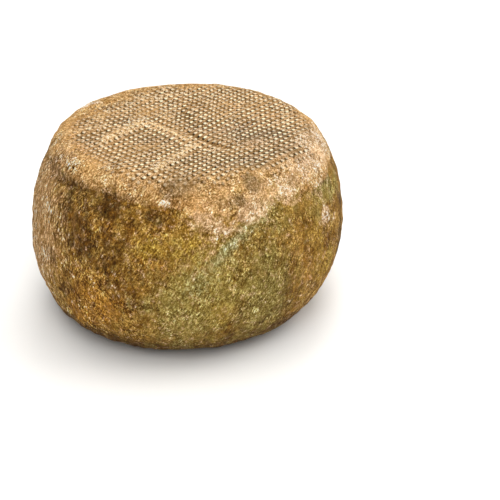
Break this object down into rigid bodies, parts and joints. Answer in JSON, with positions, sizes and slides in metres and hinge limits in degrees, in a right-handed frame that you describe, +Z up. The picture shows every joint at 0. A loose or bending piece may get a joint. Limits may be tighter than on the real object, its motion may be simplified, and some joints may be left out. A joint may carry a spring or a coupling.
{
  "type": "cheese wheel",
  "caption": "Whole aged cheese wheel with a bulging side, rounded shoulders, a flat base and a flat top face pressed by a draining cloth.",
  "frame": {"origin": "middle of the wheel's box in X and Y, on the surface that the base rests on", "axes": "+Z up through the top face; -Y is the side with the fold under the shoulder"},
  "size_m": [0.1596, 0.1604, 0.097],
  "materials": {
    "natural_rind": "dry, matt natural cheese rind, brown to olive, with a cream and grey-brown cloth imprint on the top face"
  },
  "bodies": {
    "root": {"cheese_wheel": "natural_rind"}
  },
  "joints": []
}
